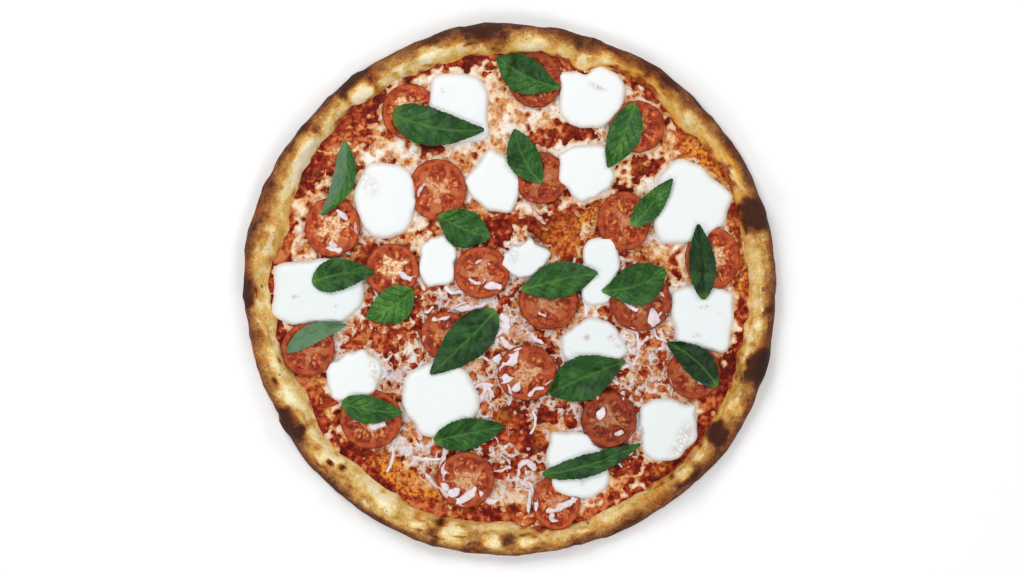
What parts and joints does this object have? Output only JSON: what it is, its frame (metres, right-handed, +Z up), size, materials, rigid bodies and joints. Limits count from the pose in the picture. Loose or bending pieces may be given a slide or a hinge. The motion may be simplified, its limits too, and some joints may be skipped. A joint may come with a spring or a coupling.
{
  "type": "margherita pizza",
  "caption": "Whole round pizza with a raised browned rim, tomato sauce, melted cheese, tomato slices, fresh mozzarella and basil leaves, lying flat.",
  "frame": {"origin": "on the underside, below the middle of the pizza", "axes": "+Z up out of the toppings, +X and +Y across the pizza"},
  "size_m": [0.458, 0.4583, 0.0224],
  "materials": {
    "baked_dough": "dry baked dough, cream to golden with brown and charred blisters",
    "tomato_sauce": "moist coarse tomato sauce, oily in places",
    "melted_cheese": "melted cheese with an oily sheen and browned specks",
    "tomato": "wet cut tomato, soft from the oven",
    "fresh_mozzarella": "smooth moist white cheese",
    "basil": "fresh leaf with a satin upper side and a paler underside"
  },
  "bodies": {
    "root": {"crust": "baked_dough", "sauce": "tomato_sauce", "melted_cheese": "melted_cheese", "tomato_01": "tomato", "tomato_02": "tomato", "tomato_03": "tomato", "tomato_04": "tomato", "tomato_05": "tomato", "tomato_06": "tomato", "tomato_07": "tomato", "tomato_08": "tomato", "tomato_09": "tomato", "tomato_10": "tomato", "tomato_11": "tomato", "tomato_12": "tomato", "tomato_13": "tomato", "tomato_14": "tomato", "tomato_15": "tomato", "tomato_16": "tomato", "tomato_17": "tomato", "tomato_18": "tomato", "tomato_19": "tomato", "tomato_20": "tomato", "mozzarella_01": "fresh_mozzarella", "mozzarella_02": "fresh_mozzarella", "mozzarella_03": "fresh_mozzarella", "mozzarella_04": "fresh_mozzarella", "mozzarella_05": "fresh_mozzarella", "mozzarella_06": "fresh_mozzarella", "mozzarella_07": "fresh_mozzarella", "mozzarella_08": "fresh_mozzarella", "mozzarella_09": "fresh_mozzarella", "mozzarella_10": "fresh_mozzarella", "mozzarella_11": "fresh_mozzarella", "mozzarella_12": "fresh_mozzarella", "mozzarella_13": "fresh_mozzarella", "mozzarella_14": "fresh_mozzarella", "mozzarella_15": "fresh_mozzarella", "mozzarella_16": "fresh_mozzarella", "basil_01": "basil", "basil_02": "basil", "basil_03": "basil", "basil_04": "basil", "basil_05": "basil", "basil_06": "basil", "basil_07": "basil", "basil_08": "basil", "basil_09": "basil", "basil_10": "basil", "basil_11": "basil", "basil_12": "basil", "basil_13": "basil", "basil_14": "basil", "basil_15": "basil", "basil_16": "basil", "basil_17": "basil", "basil_18": "basil", "basil_19": "basil"}
  },
  "joints": []
}
